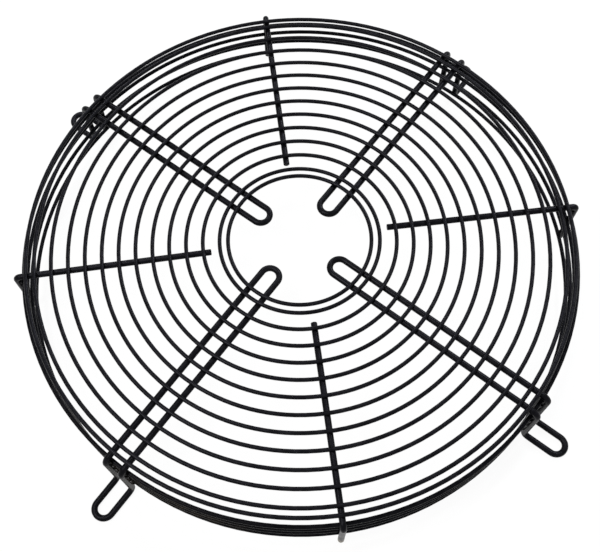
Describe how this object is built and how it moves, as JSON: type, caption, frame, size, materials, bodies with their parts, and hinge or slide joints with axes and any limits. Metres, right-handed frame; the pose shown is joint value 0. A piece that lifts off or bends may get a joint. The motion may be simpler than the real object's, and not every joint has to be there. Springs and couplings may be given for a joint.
{
  "type": "wire fan guard",
  "caption": "Basket-shaped round wire guard for an axial fan: concentric rings, a short wire wall, looped struts that end as slotted mounting feet, and short single spokes.",
  "frame": {"origin": "on the fan's axis, in the plane on which the four mounting feet rest", "axes": "+Z along the fan's axis, out of the grille face; +X and +Y along two of the looped struts"},
  "size_m": [0.4684, 0.4684, 0.0552],
  "materials": {
    "ring_coating": "black powder coat on steel wire, semi-gloss with a faint orange-peel texture",
    "strut_coating": "black powder coat on thicker steel wire, semi-gloss, thin at the sheared ends and bare grey steel on one of them"
  },
  "bodies": {
    "root": {"face_ring_01": "ring_coating", "face_ring_02": "ring_coating", "face_ring_03": "ring_coating", "face_ring_04": "ring_coating", "face_ring_05": "ring_coating", "face_ring_06": "ring_coating", "face_ring_07": "ring_coating", "face_ring_08": "ring_coating", "face_ring_09": "ring_coating", "face_ring_10": "ring_coating", "face_ring_11": "ring_coating", "face_ring_12": "ring_coating", "face_ring_13": "ring_coating", "face_ring_14": "ring_coating", "wall_ring_1": "ring_coating", "wall_ring_2": "ring_coating", "wall_ring_3": "ring_coating", "wall_ring_4": "ring_coating", "hairpin_1": "strut_coating", "hairpin_2": "strut_coating", "hairpin_3": "strut_coating", "hairpin_4": "strut_coating", "spoke_1": "strut_coating", "spoke_2": "strut_coating", "spoke_3": "strut_coating", "spoke_4": "strut_coating"}
  },
  "joints": []
}
